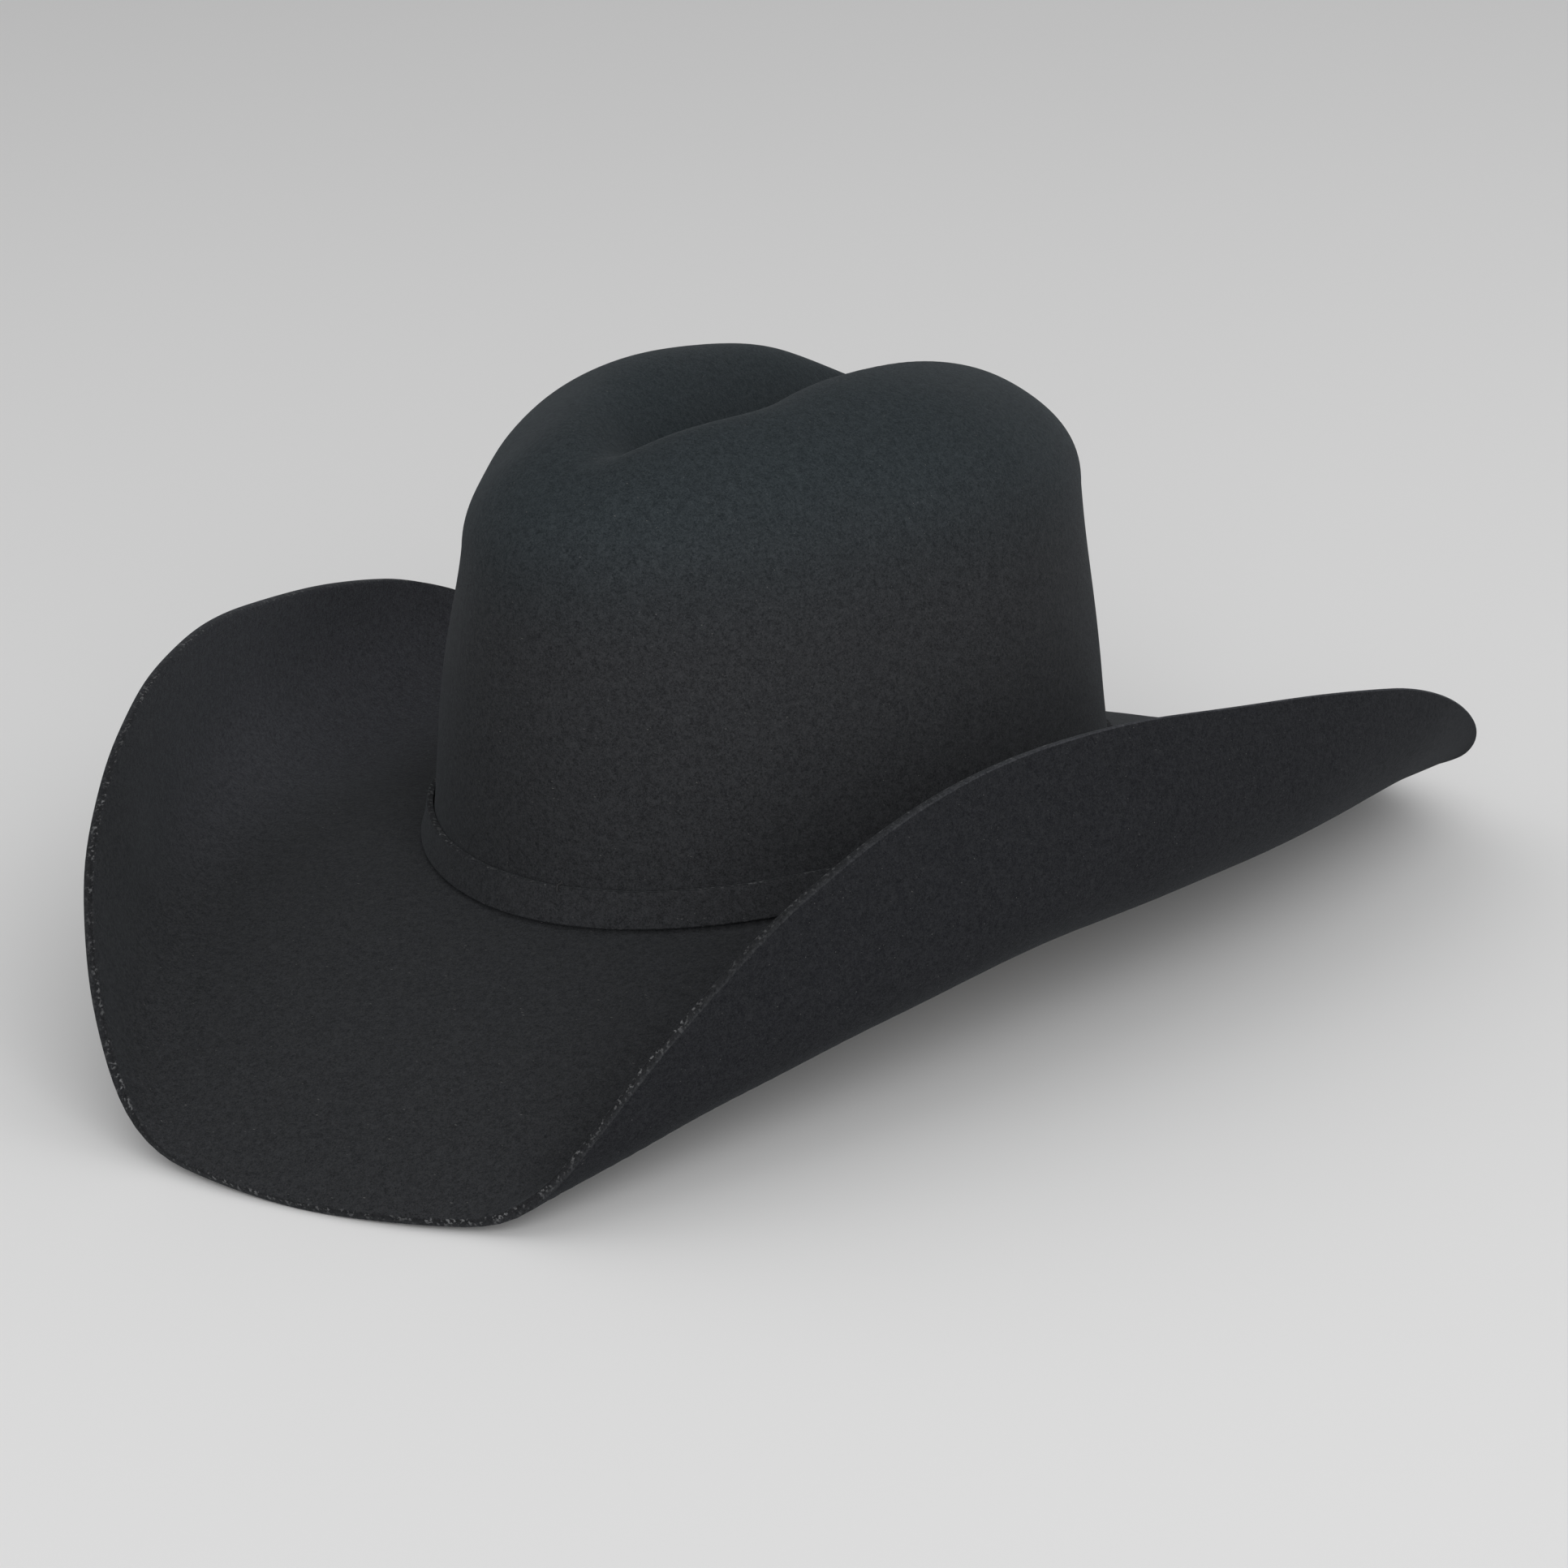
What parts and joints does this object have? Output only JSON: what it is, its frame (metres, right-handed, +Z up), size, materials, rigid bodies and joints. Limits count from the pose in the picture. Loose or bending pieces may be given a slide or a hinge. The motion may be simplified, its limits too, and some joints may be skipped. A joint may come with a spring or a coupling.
{
  "type": "cowboy hat",
  "caption": "Black felt western hat: creased crown with side dents, narrow self-felt band, brim with rolled sides and dipped front and back, leather sweatband and satin lining.",
  "frame": {"origin": "on the surface the hat stands on, below the middle of its bounding box; the hat stands on the front and rear dips of its brim", "axes": "+X to the wearer's left, -Y to the front of the hat, +Z up out of the crown"},
  "size_m": [0.3383, 0.416, 0.1596],
  "materials": {
    "black_felt": "raw-edged fur felt, matt, short nap",
    "black_band_felt": "the same felt, cut in a narrow strip",
    "black_thread": "spun thread",
    "brown_leather": "smooth roan leather, satin",
    "reed_plastic": "moulded, satin",
    "reed_tape_cotton": "woven cotton tape",
    "satin_ribbon": "satin ribbon",
    "champagne_satin": "woven satin, soft sheen",
    "clear_film": "clear film",
    "label_paper": "blank woven-faced paper"
  },
  "bodies": {
    "root": {"felt_body": "black_felt", "hat_band": "black_band_felt", "band_bow": "black_band_felt", "band_keeper": "black_band_felt", "band_tack_front": "black_thread", "band_tack_left": "black_thread", "band_tack_rear": "black_thread", "band_tack_right": "black_thread", "lining_side": "champagne_satin", "lining_tip": "champagne_satin", "lining_piping": "champagne_satin", "tip_shield": "clear_film", "sweatband": "brown_leather", "sweatband_reed": "reed_plastic", "reed_sleeve": "reed_plastic", "reed_tape": "reed_tape_cotton", "sweatband_seam_tape": "reed_tape_cotton", "size_label": "label_paper", "sweatband_bow": "satin_ribbon", "sweatband_bow_knot": "satin_ribbon"}
  },
  "joints": []
}
